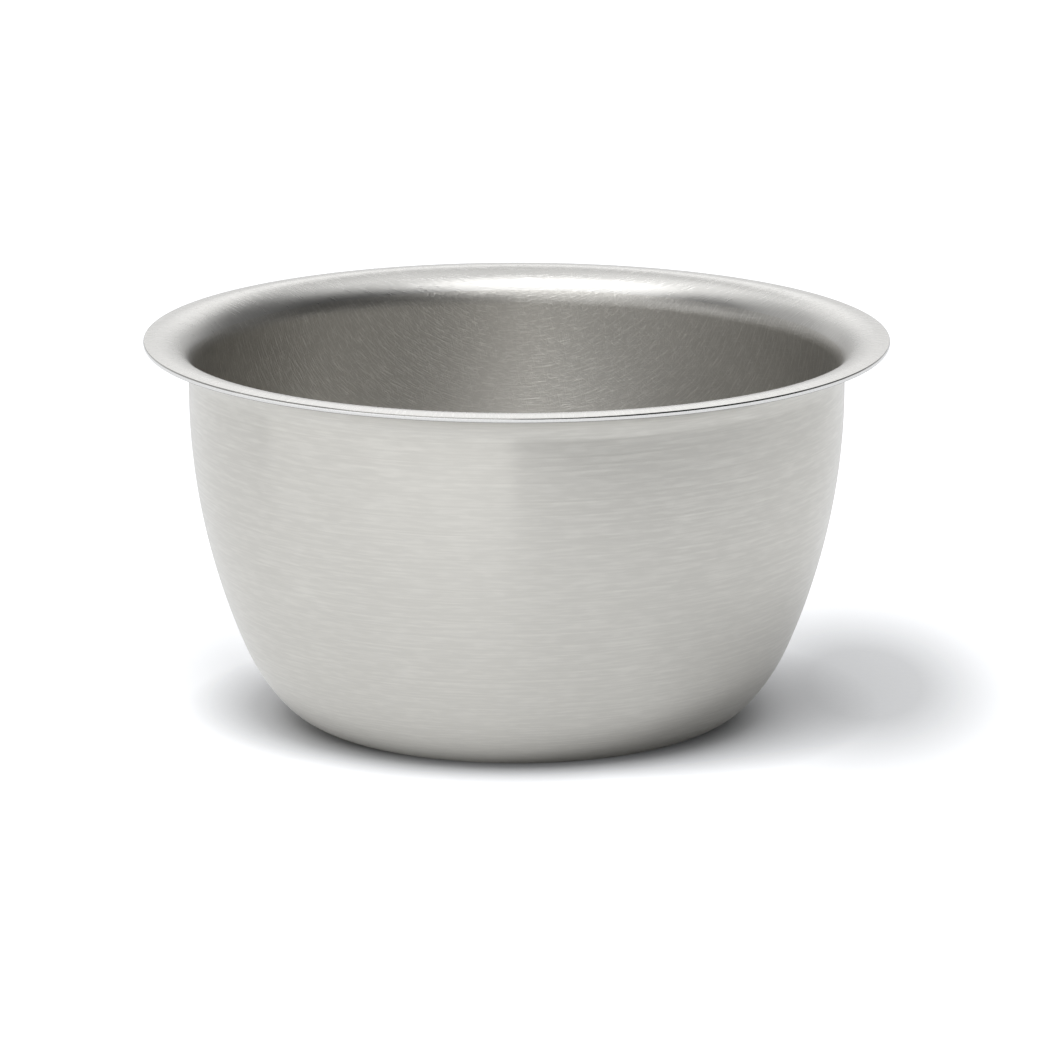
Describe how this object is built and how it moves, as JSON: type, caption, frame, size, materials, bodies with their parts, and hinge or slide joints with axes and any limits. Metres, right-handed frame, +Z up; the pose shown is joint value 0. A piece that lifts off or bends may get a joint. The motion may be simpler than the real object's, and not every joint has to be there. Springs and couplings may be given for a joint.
{
  "type": "prep bowl",
  "caption": "Round prep bowl pressed from satin stainless-steel sheet, with a nearly flat outward rim, near-upright curved sides and a flat base, for holding prepared ingredients.",
  "frame": {"origin": "centre of the flat base, on the surface the bowl stands on", "axes": "+Z up along the bowl's axis of revolution; the picture looks along +Y, so -Y is its near side and +X its right"},
  "size_m": [0.13, 0.13, 0.0682],
  "materials": {
    "steel": "satin, brushed round the outside and in crossing arcs inside"
  },
  "bodies": {
    "root": {"bowl": "steel"}
  },
  "joints": []
}
